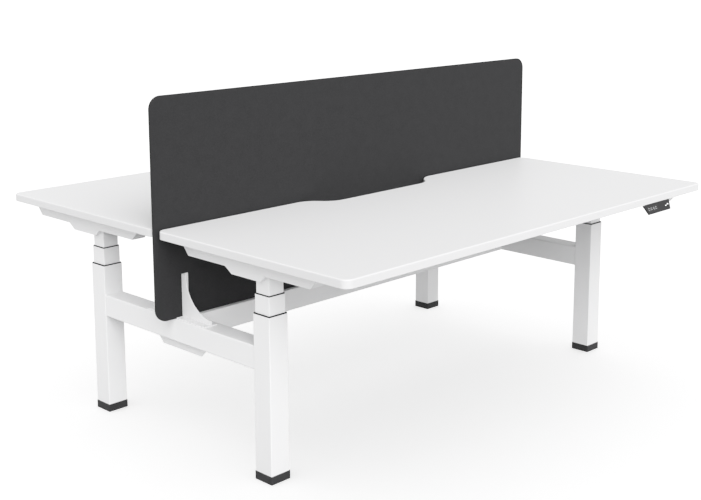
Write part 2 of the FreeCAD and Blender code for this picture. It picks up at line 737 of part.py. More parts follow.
# Screen bracket of the near left corner: a web with a hollow front edge, a flange and a foot
web_x = -bracket_web_x
face_y = -screen_thickness / 2
web_rise = bracket_height - bracket_toe
web_run = bracket_reach - bracket_head
arc_centre_y = face_y - bracket_reach
arc_radius = (web_rise ** 2 + web_run ** 2) / (2 * web_rise)
arc_centre_z = beam_top + bracket_toe + arc_radius
arc_top = V(web_x, face_y - bracket_head, beam_top + bracket_height)
arc_foot = V(web_x, arc_centre_y, beam_top + bracket_toe)
arc_angle = math.asin(web_run / arc_radius) / 2
arc_between = V(web_x, arc_centre_y + arc_radius * math.sin(arc_angle),
                arc_centre_z - arc_radius * math.cos(arc_angle))
heel = V(web_x, face_y, beam_top)
heel_top = V(web_x, face_y, beam_top + bracket_height)
toe = V(web_x, arc_centre_y, beam_top)
web_edges = [line(heel, heel_top), line(heel_top, arc_top),
             Part.Arc(arc_top, arc_between, arc_foot).toShape(), line(arc_foot, toe), line(toe, heel)]
bracket = Part.Face(Part.Wire(web_edges)).extrude(V(bracket_sheet, 0, 0))
flange_x = web_x + bracket_width
bracket = bracket.fuse(block(web_x, flange_x, face_y - bracket_sheet, face_y,
                             beam_top, beam_top + bracket_height))
bracket = bracket.fuse(block(web_x - bracket_foot, flange_x, arc_centre_y, face_y,
                             beam_top, beam_top + bracket_sheet))
flange_middle = (web_x + bracket_sheet + flange_x) / 2
for share in (0.4, 0.8):
    seat = V(flange_middle, face_y - bracket_reach * share, beam_top + bracket_sheet)
    bracket = drilled(bracket, bolt_hole, seat, DOWN, 2 * bracket_sheet)
    frame_bolts.append(bolt(seat, DOWN))
    frame_bolts.append(bolt(V(seat.x, -seat.y, seat.z), DOWN))
    for y in (seat.y, -seat.y):
        side_beam = drilled(side_beam, bolt_thread, V(seat.x, y, beam_top), DOWN, 2 * beam_wall)
screen_bolt_heights = [beam_top + bracket_height * share for share in (0.3, 0.8)]
for height in screen_bolt_heights:
    bracket = drilled(bracket, screw_hole, V(flange_middle, face_y, height), NEARER, 2 * bracket_sheet)
bracket = bracket.removeSplitter()
bracket_right = bracket.mirror(V(0, 0, 0), RIGHT)
save("screen_bracket_near_left", bracket)
save("screen_bracket_near_right", bracket_right)
save("screen_bracket_far_left", turned(bracket_right))
save("screen_bracket_far_right", turned(bracket))

# Felt screen and the double-headed bolts through it
screen_half = top_length / 2 + screen_overhang
screen_top = top_surface + screen_above_top
screen = block(-screen_half, screen_half, face_y, -face_y, beam_top, screen_top)
through_edges = [e for e in screen.Edges if abs(e.tangentAt(e.FirstParameter).y) > 0.9]
screen = screen.makeFillet(screen_corner, through_edges)
screen_bolts = []
for x in (flange_middle, -flange_middle):
    for height in screen_bolt_heights:
        screen = screen.cut(rod(screw_hole, V(x, 2 * face_y, height), V(x, -2 * face_y, height)))
        grip = screen_thickness / 2 + bracket_sheet
        shank = rod(screw_m6_radius, V(x, -grip, height), V(x, grip, height))
        near_head = V(x, -grip - screw_m6_head, height)
        shank = shank.fuse(rod(screw_m6_head_radius, near_head, V(x, -grip, height)))
        far_head = V(x, grip + screw_m6_head, height)
        shank = shank.fuse(rod(screw_m6_head_radius, V(x, grip, height), far_head))
        screen_bolts.append(shank.removeSplitter())
save("screen_panel", screen)
save("screen_bolts", screen_bolts)

# The right side beam is the left one turned, and so are its bolts. The left beam alone has a hanger plate.
right_beam = turned(side_beam)
right_bolts = [turned(s) for s in frame_bolts]

# Hanger plate under the left side beam: an upright plate with slanting ends and a flange on the beam
hanger_x = -column_x - beam_width / 2 + hanger_recess
hanger_low = beam_underside - hanger_drop
trapezoid = [(hanger_drop - hanger_half, hanger_low), (hanger_half - hanger_drop, hanger_low),
             (hanger_half, beam_underside), (-hanger_half, beam_underside)]
hanger = across(trapezoid, hanger_x, hanger_x + hanger_sheet)
flange_half = hanger_half - hanger_drop
hanger = hanger.fuse(block(hanger_x, hanger_x + hanger_flange, -flange_half, flange_half,
                           beam_underside - hanger_sheet, beam_underside))
for y in (-hanger_bolt_pitch / 2, hanger_bolt_pitch / 2):
    seat = V(hanger_x + hanger_flange / 2, y, beam_underside - hanger_sheet)
    hanger = drilled(hanger, bolt_hole, seat, UP, 2 * hanger_sheet)
    side_beam = drilled(side_beam, bolt_thread, V(seat.x, y, beam_underside), UP, 2 * beam_wall)
    frame_bolts.append(bolt(seat, UP))

save("side_beam_left", side_beam)
save("side_beam_right", right_beam)
save("centre_beam", centre_beam)
save("hanger_plate", hanger.removeSplitter())
save("frame_bolts", frame_bolts + right_bolts)
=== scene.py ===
import json
import math

import bmesh
import bpy
from bpy.props import FloatProperty, FloatVectorProperty, IntProperty, PointerProperty, StringProperty
from mathutils import Matrix, Vector


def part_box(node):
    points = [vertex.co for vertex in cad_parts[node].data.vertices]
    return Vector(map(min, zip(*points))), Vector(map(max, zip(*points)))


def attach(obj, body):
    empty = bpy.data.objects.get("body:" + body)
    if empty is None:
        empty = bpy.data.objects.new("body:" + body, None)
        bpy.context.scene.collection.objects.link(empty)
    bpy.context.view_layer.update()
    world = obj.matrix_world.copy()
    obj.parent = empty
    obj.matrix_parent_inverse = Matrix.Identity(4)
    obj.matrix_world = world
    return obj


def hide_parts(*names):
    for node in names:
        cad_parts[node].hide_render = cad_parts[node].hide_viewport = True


bl_info = {
    "name": "Benching Desk Dressing",
    "version": (1, 0, 0),
    "blender": (4, 2, 0),
    "location": "3D View > Sidebar > Desk",
    "description": "Gives the two-place sit-stand desk its felt screen, bolts, readouts, finishes and studio",
    "category": "Object",
}

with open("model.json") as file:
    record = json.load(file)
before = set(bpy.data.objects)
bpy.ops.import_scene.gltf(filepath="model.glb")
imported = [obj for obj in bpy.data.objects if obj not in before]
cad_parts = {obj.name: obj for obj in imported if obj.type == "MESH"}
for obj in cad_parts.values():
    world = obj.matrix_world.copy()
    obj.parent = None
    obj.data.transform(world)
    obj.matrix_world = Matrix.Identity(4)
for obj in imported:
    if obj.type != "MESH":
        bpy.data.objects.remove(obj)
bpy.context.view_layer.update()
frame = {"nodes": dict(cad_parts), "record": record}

# Finish of every carried-over piece, by the record's own words
slot_of = {row["node"]: row["material_slot"] for row in frame["record"]["subparts"]}

# The far desk is the near one turned half round
desks = ("near", "far")
half_turn = Matrix.Rotation(math.pi, 4, "Z")

# Distance in metres under which two places count as one
close = 1e-5

# Steps of a plate's eased rim, of its corners, and of a bolt head's crown
rim_steps = 3
screen_steps = 16
window_steps = 5
crown_steps = 4

# Shares of a bolt's own sizes: crown of the head's height, chamfer of the shank's radius, and how much of the
# head's radius an end has to fill to count as a head
crown_share = 0.6
tip_share = 0.2
head_share = 0.95

# Upward part of a face's normal above which the face looks up
looks_up = 0.9

# Widest angle in degrees between faces that are shaded as one surface
bolt_smooth = 35.0
felt_smooth = 25.0

# Points of the print's tone curve, and the place of the curve for all colours in Blender's list
print_steps = 8
all_colours = 3


def colour_property(name, description, value):
    """Linear colour in the sidebar."""
    return FloatVectorProperty(name=name, description=description, subtype="COLOR", size=3,
                               min=0.0, max=1.0, default=value)


def length_property(name, description, value):
    """Length in metres in the sidebar."""
    return FloatProperty(name=name, description=description, unit="LENGTH", precision=5,
                         min=0.0, default=value)


def number_property(name, description, value, least=0.0):
    """Plain number in the sidebar."""
    return FloatProperty(name=name, description=description, min=least, default=value)


def angle_property(name, description, degrees):
    """Angle in the sidebar."""
    return FloatProperty(name=name, description=description, subtype="ANGLE", default=math.radians(degrees))


def vector_property(name, description, kind, value):
    """Place or direction in the sidebar."""
    return FloatVectorProperty(name=name, description=description, subtype=kind, size=3, default=value)


class DeskFinishes(bpy.types.PropertyGroup):
    """Colours of the desk's finishes."""

    laminate: colour_property("Laminate", "Worktop melamine", (0.648, 0.648, 0.653))
    # Darker than the laminate: painted shade on the worktops' upright faces
    shaded_edge_band: colour_property("Edge band", "Worktop's lipped edge", (0.590, 0.590, 0.595))
    paint: colour_property("Powder coat", "Legs, beams, arms and brackets", (0.712, 0.712, 0.717))
    felt_dark: colour_property("Felt shadow", "Dark fibres of the screen", (0.0151, 0.0151, 0.0157))
    felt_light: colour_property("Felt light", "Light fibres of the screen", (0.0261, 0.0261, 0.0271))
    black: colour_property("Black plastic", "Feet and control boxes", (0.021, 0.021, 0.022))
    collar: colour_property("Collar plastic", "Collars and sleeves of the columns", (0.0035, 0.0035, 0.0036))
    handset: colour_property("Handset", "Handset shell", (0.0108, 0.0108, 0.0113))
    key: colour_property("Key", "Handset keys", (0.0108, 0.0108, 0.0113))
    window_dark: colour_property("Window shadow", "Dark smoke of the window", (0.012, 0.012, 0.0125))
    window_light: colour_property("Window light", "Light smoke of the window", (0.015, 0.015, 0.0155))
    digits: colour_property("Digits", "Lit segments of the readout", (0.30, 0.305, 0.31))
    digits_glow: number_property("Digits glow", "Light that the readout gives off", 0.25)
    legend: colour_property("Legend", "Marks on the keys", (0.86, 0.86, 0.86))
    # The key marks are printed, so their glow is painted light
    legend_painted_glow: number_property("Legend glow", "Light that the marks give off", 0.5)
    acetal: colour_property("Acetal", "Lift nuts", (0.74, 0.73, 0.69))
    steel: colour_property("Steel", "Spindles, shafts and posts", (0.56, 0.56, 0.57))
    zinc: colour_property("Zinc", "Screws under the tops", (0.62, 0.62, 0.63))
    motor: colour_property("Gearmotor", "Cast housings of the gearmotors", (0.028, 0.028, 0.030))


class DeskSizes(bpy.types.PropertyGroup):
    """Sizes of the pieces that are modelled here."""

    screen_corner: length_property("Screen corner", "Radius of the screen's corners", 0.040)
    screen_ease: length_property("Screen rim", "Rounding of the screen's cut edge", 0.0016)
    frame_bolt_head: length_property("Frame bolt head", "Radius of an M8 button head", 0.0070)
    frame_bolt_height: length_property("Frame bolt height", "Height of an M8 button head", 0.0040)
    frame_bolt_shank: length_property("Frame bolt shank", "Radius of an M8 shank", 0.0040)
    frame_bolt_socket: length_property("Frame bolt socket", "Corner radius of a 5 mm hexagon socket", 0.0029)
    screw_head: length_property("Screw head", "Radius of an M6 button head", 0.0055)
    screw_height: length_property("Screw height", "Height of an M6 button head", 0.0030)
    screw_shank: length_property("Screw shank", "Radius of an M6 shank", 0.0030)
    screw_socket: length_property("Screw socket", "Corner radius of a 4 mm hexagon socket", 0.0023)
    bolt_sides: IntProperty(name="Bolt sides", description="Sides of a round bolt", default=24, min=12)
    handset_drop: length_property("Face drop", "Height of the handset's face", 0.030)
    handset_reach: length_property("Face reach", "How far the face leans out at its foot", 0.0165)
    window_width: length_property("Window width", "Width of the readout's window", 0.064)
    window_height: length_property("Window height", "Height of the readout's window", 0.021)
    window_corner: length_property("Window corner", "Radius of the window's corners", 0.002625)
    window_offset: length_property("Window offset", "How far left of the handset's middle it sits", 0.036)
    digit_width: length_property("Digit width", "Width of one digit", 0.0064)
    digit_height: length_property("Digit height", "Height of one digit", 0.0080)
    digit_pitch: length_property("Digit pitch", "From one digit to the next", 0.0145)
    digit_stroke: length_property("Digit stroke", "Width of one lit segment", 0.0016)
    mark_width: length_property("Mark width", "Width of a key's arrow mark", 0.0090)
    mark_height: length_property("Mark height", "Rise of a key's arrow mark", 0.0024)
    mark_stroke: length_property("Mark stroke", "Stroke of a key's arrow mark", 0.0028)
    mark_shift: length_property("Mark shift", "From a key's middle to its mark, the way it points", 0.0016)
    mark_thick: length_property("Mark thickness", "How far print stands off its face", 0.00015)
    key_proud: length_property("Key rise", "How far a key stands off the handset", 0.0006)
    readout: StringProperty(name="Readout", description="Height shown, in centimetres", default="069.0")


class DeskStudio(bpy.types.PropertyGroup):
    """Camera, light and floor."""

    camera_place: vector_property("Camera", "Camera's place", "TRANSLATION", (-2.9564, -2.8690, 1.5045))
    camera_yaw: angle_property("Yaw", "Turn of the view from the far side towards the right", 46.398)
    camera_pitch: angle_property("Pitch", "Dip of the view below the horizon", 10.134)
    sensor: number_property("Sensor", "Width of the camera's sensor, in millimetres", 36.0)
    lens: number_property("Lens", "Focal length, in millimetres", 61.37)
    shift_right: number_property("Shift across", "Lens shift across", -0.0359, least=-1.0)
    shift_up: number_property("Shift up", "Lens shift upwards", -0.12, least=-1.0)
    floor_size: length_property("Floor", "Side of the floor", 160.0)
    floor_colour: colour_property("Floor colour", "Pale studio floor", (0.72, 0.72, 0.72))
    floor_glow: number_property("Floor glow", "Light that the floor gives off", 0.575)
    sky_high: number_property("Dome", "Brightness of the dome overhead", 0.63)
    sky_low: number_property("Horizon", "Brightness of the dome at the horizon", 1.2)
    sky_low_end: number_property("Horizon end", "Sine of the height where the horizon's light ends", 0.11)
    sky_high_start: number_property("Dome start", "Sine of the height where the dome's light starts", 0.20)
    key_power: number_property("Key light", "Strength of the soft key light", 3.86)
    key_spread: angle_property("Key spread", "Angle that the key light fills", 60.0)
    key_way: vector_property("Key way", "Direction that the key light travels", "DIRECTION",
                             (0.74, 1.28, -1.25))
    wash_power: number_property("Floor light", "Strength of the light on the floor", 1.5)
    wash_spread: angle_property("Floor spread", "Angle that the floor's light fills", 110.0)
    wash_way: vector_property("Floor way", "Direction that the floor's light travels", "DIRECTION",
                              (-0.15, -0.25, -1.0))
    print_white: number_property("Print white", "Brightness that prints as white", 1.2, least=0.1)
    print_shoulder: number_property("Print shoulder", "How softly bright tones roll off to white", 1.35,
                                    least=0.1)


# Small tools for modelling


def select_only(piece):
    """Makes a piece the one that operators act on."""
    bpy.ops.object.select_all(action="DESELECT")
    piece.select_set(True)
    bpy.context.view_layer.objects.active = piece


def named_new(name):
    """Name for the object that an operator has just added."""
    piece = bpy.context.object
    piece.name = name
    piece.data.name = name
    return piece


def settle(piece, place=None):
    """Puts a piece at its place and writes that place into its mesh."""
    if place is not None:
        piece.matrix_world = place
    select_only(piece)
    bpy.ops.object.transform_apply(location=True, rotation=True, scale=True)
    return piece


def start_edit(piece):
    select_only(piece)
    bpy.ops.object.mode_set(mode="EDIT")


def end_edit():
    bpy.ops.object.mode_set(mode="OBJECT")


def pick_edges(piece, wanted):
    """Selects the edges whose two ends pass the test."""
    bpy.ops.mesh.select_mode(type="EDGE")
    bpy.ops.mesh.select_all(action="DESELECT")
    mesh = bmesh.from_edit_mesh(piece.data)
    for edge in mesh.edges:
        if wanted(edge.verts[0].co, edge.verts[1].co):
            edge.select_set(True)
    bmesh.update_edit_mesh(piece.data)


def pick_faces(piece, wanted):
    """Selects the faces whose middle and normal pass the test."""
    bpy.ops.mesh.select_mode(type="FACE")
    bpy.ops.mesh.select_all(action="DESELECT")
    mesh = bmesh.from_edit_mesh(piece.data)
    for face in mesh.faces:
        if wanted(face.calc_center_median(), face.normal):
            face.select_set(True)
    bmesh.update_edit_mesh(piece.data)


def pick_points(piece, wanted):
    """Selects the vertices that pass the test."""
    bpy.ops.mesh.select_mode(type="VERT")
    bpy.ops.mesh.select_all(action="DESELECT")
    mesh = bmesh.from_edit_mesh(piece.data)
    for point in mesh.verts:
        if wanted(point.co):
            point.select_set(True)
    bmesh.update_edit_mesh(piece.data)


def raise_sheet(piece, height):
    """Gives a flat sheet its thickness, upwards, with all faces outwards."""
    start_edit(piece)
    bpy.ops.mesh.select_all(action="SELECT")
    bpy.ops.mesh.extrude_region_move(TRANSFORM_OT_translate={"value": (0.0, 0.0, height)})
    bpy.ops.mesh.select_all(action="SELECT")
    bpy.ops.mesh.normals_make_consistent(inside=False)
    end_edit()


def soften(piece, angle):
    """Smooth shading up to an angle in degrees."""
    select_only(piece)
    bpy.ops.object.shade_smooth_by_angle(angle=math.radians(angle))


def join(pieces, name):
    """Several settled pieces as one object."""
    bpy.ops.object.select_all(action="DESELECT")
    for piece in pieces:
        piece.select_set(True)
    bpy.context.view_layer.objects.active = pieces[0]
    if len(pieces) > 1:
        bpy.ops.object.join()
    return named_new(name)


def another(piece, place):
    """Copy of a piece with its own mesh, at a place."""
    copy = piece.copy()
    copy.data = piece.data.copy()
    bpy.context.scene.collection.objects.link(copy)
    return settle(copy, place)


def discard(piece):
    """Removes a helper piece with its mesh."""
    mesh = piece.data
    bpy.data.objects.remove(piece)
    bpy.data.meshes.remove(mesh)


def rounded_plate(name, width, height, thickness, corner, ease, steps):
    """Flat plate about the origin with its face up, round plan corners and eased rims."""
    bpy.ops.object.select_all(action="DESELECT")
    bpy.ops.mesh.primitive_cube_add(size=1.0)
    plate = named_new(name)
    plate.scale = (width, height, thickness)
    settle(plate)
    start_edit(plate)
    pick_edges(plate, lambda a, b: abs(a.z - b.z) > thickness / 2)
    bpy.ops.mesh.bevel(offset=corner, segments=steps, affect="EDGES")
    pick_edges(plate, lambda a, b: abs(a.z - b.z) < close)
    bpy.ops.mesh.bevel(offset=ease, segments=rim_steps, affect="EDGES")
    end_edit()
    return plate


def put_on(piece, body, material, node=None):
    """Gives a new piece its finish and the body that it rides on."""
    piece.data.materials.clear()
    piece.data.materials.append(material)
    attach(piece, body)
    if node is not None:
        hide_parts(node)


# Small tools for materials


class Finish:
    """A node material on the piece's own coordinates, in metres."""

    def __init__(self, name):
        self.material = bpy.data.materials.new(name)
        self.material.use_nodes = True
        self.tree = self.material.node_tree
        self.tree.nodes.clear()
        self.shader = self.add("ShaderNodeBsdfPrincipled")
        output = self.add("ShaderNodeOutputMaterial")
        self.link(self.shader.outputs["BSDF"], output.inputs["Surface"])
        self.place = self.add("ShaderNodeTexCoord").outputs["Object"]

    def add(self, kind):
        return self.tree.nodes.new(kind)

    def link(self, source, target):
        self.tree.links.new(source, target)

    def set(self, **values):
        """Plain values for the shader's own sockets."""
        for name, value in values.items():
            self.shader.inputs[name.replace("_", " ")].default_value = value
        return self

    def noise(self, scale, detail=2.0, stretch=None, warp=0.0):
        """Cloudy pattern, finer with a larger scale."""
        node = self.add("ShaderNodeTexNoise")
        node.inputs["Scale"].default_value = scale
        node.inputs["Detail"].default_value = detail
        node.inputs["Distortion"].default_value = warp
        source = self.place
        if stretch is not None:
            mapping = self.add("ShaderNodeMapping")
            mapping.inputs["Scale"].default_value = stretch
            self.link(self.place, mapping.inputs["Vector"])
            source = mapping.outputs["Vector"]
        self.link(source, node.inputs["Vector"])
        return node.outputs["Fac"]

    def cells(self, scale):
        """Pattern of small rounded cells."""
        node = self.add("ShaderNodeTexVoronoi")
        node.inputs["Scale"].default_value = scale
        self.link(self.place, node.inputs["Vector"])
        return node.outputs["Distance"]

    def bands(self, scale, axis):
        """Pattern of stripes across an axis."""
        node = self.add("ShaderNodeTexWave")
        node.bands_direction = axis
        node.inputs["Scale"].default_value = scale
        self.link(self.place, node.inputs["Vector"])
        return node.outputs["Fac"]

    def remap(self, source, low, high, from_low=0.3, from_high=0.7):
        """A pattern's middle range spread over new limits."""
        node = self.add("ShaderNodeMapRange")
        node.inputs["From Min"].default_value = from_low
        node.inputs["From Max"].default_value = from_high
        node.inputs["To Min"].default_value = low
        node.inputs["To Max"].default_value = high
        self.link(source, node.inputs["Value"])
        return node.outputs["Result"]

    def blend(self, factor, first, second):
        """Colour between two, each a plain colour or another node's output."""
        node = self.add("ShaderNodeMix")
        node.data_type = "RGBA"
        self.link(factor, node.inputs["Factor"])
        for socket, value in (("A", first), ("B", second)):
            target = [s for s in node.inputs if s.name == socket and s.type == "RGBA"][0]
            if isinstance(value, bpy.types.NodeSocket):
                self.link(value, target)
            else:
                target.default_value = (*value, 1.0)
        return [s for s in node.outputs if s.type == "RGBA"][0]

    def total(self, first, second, weight):
        """First height plus a share of the second."""
        node = self.add("ShaderNodeMath")
        node.operation = "MULTIPLY_ADD"
        self.link(second, node.inputs[0])
        node.inputs[1].default_value = weight
        self.link(first, node.inputs[2])
        return node.outputs["Value"]

    def level_share(self):
        """One on level faces, nought on upright ones."""
        split = self.add("ShaderNodeSeparateXYZ")
        self.link(self.add("ShaderNodeNewGeometry").outputs["Normal"], split.inputs["Vector"])
        size = self.add("ShaderNodeMath")
        size.operation = "ABSOLUTE"
        self.link(split.outputs["Z"], size.inputs[0])
        return size.outputs["Value"]

    def mottle(self, pattern, first, second, share=1.0):
        """First colour with up to this share of the second, where a pattern is bright."""
        return self.blend(self.remap(pattern, 0.0, share), first, second)

    def colour(self, source):
        self.link(source, self.shader.inputs["Base Color"])
        return self

    def roughness(self, pattern, low, high):
        """Roughness between two limits, by a pattern."""
        self.link(self.remap(pattern, low, high), self.shader.inputs["Roughness"])
        return self

    def relief(self, height, depth, strength):
        """Bump of a pattern, with its depth in metres."""
        node = self.add("ShaderNodeBump")
        node.inputs["Distance"].default_value = depth
        node.inputs["Strength"].default_value = strength
        self.link(height, node.inputs["Height"])
        self.link(node.outputs["Normal"], self.shader.inputs["Normal"])
        return self


def shade(colour, share):
    """A colour made darker or lighter."""
    return tuple(min(1.0, c * share) for c in colour)


def laminate_finish(colour, edge):
    """Melamine with a fine pearl grain and a slow drift of tone, lipped with a plain edge band, darker as
    painted shade.
    """
    finish = Finish("worktop_laminate")
    grain = finish.noise(scale=420.0, detail=3.0)
    drift = finish.noise(scale=2.5)
    pearl = finish.noise(scale=1700.0)
    speckle = finish.mottle(grain, shade(colour, 0.985), shade(colour, 1.01))
    toned = finish.mottle(drift, speckle, shade(colour, 0.992), share=0.5)
    # Upright faces take the darker edge band colour, painted shade on the sides
    level = finish.remap(finish.level_share(), 0.0, 1.0, from_low=0.35, from_high=0.85)
    finish.colour(finish.blend(level, edge, toned)).roughness(pearl, low=0.40, high=0.52)
    return finish.relief(finish.total(pearl, grain, weight=0.5), depth=0.00004, strength=0.3).material


def paint_finish(colour, name):
    """Powder coat: a fine orange peel over the metal, a little duller in patches."""
    finish = Finish(name)
    peel = finish.noise(scale=650.0)
    dust = finish.noise(scale=2400.0, detail=1.0)
    patch = finish.noise(scale=9.0, detail=3.0)
    tone = finish.mottle(peel, shade(colour, 0.985), shade(colour, 1.012))
    tone = finish.mottle(patch, tone, shade(colour, 0.988), share=0.6)
    finish.colour(tone).roughness(patch, low=0.36, high=0.46)
    return finish.relief(finish.total(peel, dust, weight=0.3), depth=0.00007, strength=0.35).material


def felt_finish(dark, light):
    """Pressed felt: short crossed fibres, small clumps and a faint heather."""
    finish = Finish("screen_felt")
    upright = finish.noise(scale=620.0, detail=4.0, stretch=(1.0, 1.0, 0.35), warp=1.5)
    level = finish.noise(scale=620.0, detail=4.0, stretch=(0.35, 1.0, 1.0), warp=1.5)
    clumps = finish.noise(scale=150.0, detail=3.0)
    heather = finish.noise(scale=28.0, detail=3.0)
    fibres = finish.total(upright, level, weight=1.0)
    tone = finish.blend(finish.remap(fibres, 0.0, 1.0, from_low=0.75, from_high=1.25), dark, light)
    tone = finish.mottle(clumps, tone, shade(dark, 1.15), share=0.45)
    tone = finish.mottle(heather, tone, shade(light, 0.95), share=0.35)
    finish.colour(tone)
    finish.set(Roughness=0.95, Sheen_Weight=0.02, Sheen_Roughness=0.6, Specular_IOR_Level=0.05)
    return finish.relief(finish.total(fibres, clumps, weight=0.7), depth=0.0005, strength=0.6).material


def plastic_finish(name, colour, grain_scale, low, high, gloss):
    """Moulded plastic with a spark-eroded grain and a roughness between two limits."""
    finish = Finish(name)
    grain = finish.cells(grain_scale)
    bloom = finish.noise(scale=35.0, detail=3.0)
    finish.colour(finish.mottle(bloom, shade(colour, 0.92), shade(colour, 1.08)))
    finish.roughness(bloom, low, high).set(Specular_IOR_Level=gloss)
    return finish.relief(grain, depth=0.00006, strength=0.4).material


def acetal_finish(colour):
    """Natural acetal, slightly cloudy, with fine turning marks."""
    finish = Finish("guide_plastic")
    cloud = finish.noise(scale=60.0, detail=3.0)
    turning = finish.bands(scale=700.0, axis="Z")
    finish.colour(finish.mottle(cloud, shade(colour, 0.95), shade(colour, 1.03)))
    finish.roughness(cloud, low=0.35, high=0.5)
    return finish.relief(turning, depth=0.00003, strength=0.3).material


def steel_finish(colour):
    """Drawn steel: brushed along its upright length, with a faint oil film."""
    finish = Finish("steel")
    brush = finish.noise(scale=900.0, stretch=(1.0, 1.0, 0.03))
    film = finish.noise(scale=22.0, detail=3.0)
    finish.colour(finish.mottle(film, shade(colour, 0.9), shade(colour, 1.05)))
    finish.roughness(brush, low=0.22, high=0.42).set(Metallic=1.0)
    return finish.relief(brush, depth=0.00003, strength=0.3).material


def zinc_finish(colour):
    """Zinc plate with a soft spangle."""
    finish = Finish("zinc_fastener")
    spangle = finish.cells(scale=700.0)
    finish.colour(finish.mottle(spangle, shade(colour, 0.86), shade(colour, 1.06)))
    finish.roughness(spangle, low=0.28, high=0.42).set(Metallic=1.0)
    return finish.relief(spangle, depth=0.00003, strength=0.25).material


def motor_finish(colour):
    """Black coat over a sand-cast housing."""
    finish = Finish("gearmotor_black")
    sand = finish.noise(scale=900.0, detail=4.0)
    rub = finish.noise(scale=40.0, detail=3.0)
    finish.colour(finish.mottle(rub, shade(colour, 0.85), shade(colour, 1.25)))
    finish.roughness(rub, low=0.5, high=0.68)
    return finish.relief(sand, depth=0.0002, strength=0.5).material


def window_finish(dark, light):
    """Smoked window of the readout."""
    finish = Finish("readout_window")
    smoke = finish.noise(scale=120.0)
    finish.colour(finish.mottle(smoke, dark, light))
    return finish.roughness(smoke, low=0.16, high=0.24).set(Specular_IOR_Level=0.4).material


def print_finish(name, colour, glow):
    """Printed or lit marks; a glow given to printed marks is painted light."""
    finish = Finish(name)
    ink = finish.noise(scale=1400.0)
    finish.colour(finish.mottle(ink, shade(colour, 0.94), colour))
    return finish.set(Roughness=0.6, Emission_Color=(*colour, 1.0), Emission_Strength=glow).material


def floor_finish(colour, glow):
    """Pale studio floor with a barely uneven wash, lit a little from below."""
    finish = Finish("studio_floor")
    wash = finish.noise(scale=0.7, detail=3.0)
    finish.colour(finish.mottle(wash, shade(colour, 0.995), colour))
    finish.set(Roughness=0.9, Specular_IOR_Level=0.1)
    return finish.set(Emission_Color=(1.0, 1.0, 1.0, 1.0), Emission_Strength=glow).material


def dress_node(node, material):
    """Gives one carried-over piece its material."""
    mesh = frame["nodes"][node].data
    mesh.materials.clear()
    mesh.materials.append(material)


def dress(slot, material):
    """Gives every carried-over piece of a finish its material."""
    for node, its_slot in slot_of.items():
        if its_slot == slot:
            dress_node(node, material)


# The pieces


def loose_parts(node):
    """The solids of a carried-over node, each as a merged copy of its own."""
    source = frame["nodes"][node]
    copy = source.copy()
    copy.data = source.data.copy()
    copy.parent = None
    bpy.context.scene.collection.objects.link(copy)
    start_edit(copy)
    bpy.ops.mesh.select_all(action="SELECT")
    bpy.ops.mesh.remove_doubles(threshold=close)
    bpy.ops.mesh.separate(type="LOOSE")
    end_edit()
    return list(bpy.context.selected_objects)


def bolt_heads(points):
    """Place and inward direction of each head of a plain bolt, from its points, and its whole length."""
    low = Vector([min(p[k] for p in points) for k in range(3)])
    high = Vector([max(p[k] for p in points) for k in range(3)])
    size = high - low
    along = max(range(3), key=lambda k: size[k])
    middle = (low + high) / 2
    head_radius = min(size[k] for k in range(3) if k != along) / 2
    heads = []
    for end, way in ((low, 1.0), (high, -1.0)):
        face = [p for p in points if abs(p[along] - end[along]) < close]
        spread = max((p - middle).length_squared - (p[along] - middle[along]) ** 2 for p in face)
        if math.sqrt(spread) > head_share * head_radius:
            head = middle.copy()
            head[along] = end[along]
            direction = Vector((0.0, 0.0, 0.0))
            direction[along] = way
            heads.append((head, direction))
    return heads, size[along]


def bolt_places(node):
    """Head end, direction and length of each plain bolt in a node; one with two heads counts as two."""
    places = []
    for part in loose_parts(node):
        heads, length = bolt_heads([v.co.copy() for v in part.data.vertices])
        places += [(head, direction, length / len(heads)) for head, direction in heads]
        discard(part)
    if not places:
        raise RuntimeError("no bolt found in " + node)
    return places


def model_bolt(name, head_radius, head, shank_radius, length, socket, sides):
    """Button-head bolt with a hexagon socket: its head's crown at the origin, its shank upwards."""
    bpy.ops.object.select_all(action="DESELECT")
    bpy.ops.mesh.primitive_cylinder_add(vertices=sides, radius=head_radius, depth=head,
                                        location=(0.0, 0.0, head / 2))
    bolt = named_new(name)
    settle(bolt)
    start_edit(bolt)
    pick_faces(bolt, lambda middle, normal: normal.z > looks_up)
    bpy.ops.mesh.inset(thickness=head_radius - shank_radius)
    bpy.ops.mesh.extrude_region_move(TRANSFORM_OT_translate={"value": (0.0, 0.0, length - head)})
    pick_edges(bolt, lambda a, b: max(a.z, b.z) < close)
    bpy.ops.mesh.bevel(offset=crown_share * head, segments=crown_steps, affect="EDGES")
    pick_edges(bolt, lambda a, b: min(a.z, b.z) > length - close)
    bpy.ops.mesh.bevel(offset=tip_share * shank_radius, segments=1, affect="EDGES")
    end_edit()
    bpy.ops.object.select_all(action="DESELECT")
    bpy.ops.mesh.primitive_cylinder_add(vertices=6, radius=socket, depth=head)
    cutter = named_new(name + "_socket")
    settle(cutter)
    cut = bolt.modifiers.new("socket", "BOOLEAN")
    cut.operation = "DIFFERENCE"
    cut.object = cutter
    select_only(bolt)
    bpy.ops.object.modifier_apply(modifier=cut.name)
    discard(cutter)
    return bolt


def set_bolts(node, head_radius, head, shank_radius, socket, sides):
    """One modelled bolt at each plain bolt of a node, as one piece."""
    places = bolt_places(node)
    length = places[0][2]
    bolt = model_bolt(node + "_model", head_radius, head, shank_radius, length, socket, sides)
    copies = []
    for place, way, _ in places:
        turn = way.to_track_quat("Z", "Y").to_matrix().to_4x4()
        copies.append(another(bolt, Matrix.Translation(place) @ turn))
    discard(bolt)
    piece = join(copies, node + "_turned")
    soften(piece, bolt_smooth)
    return piece


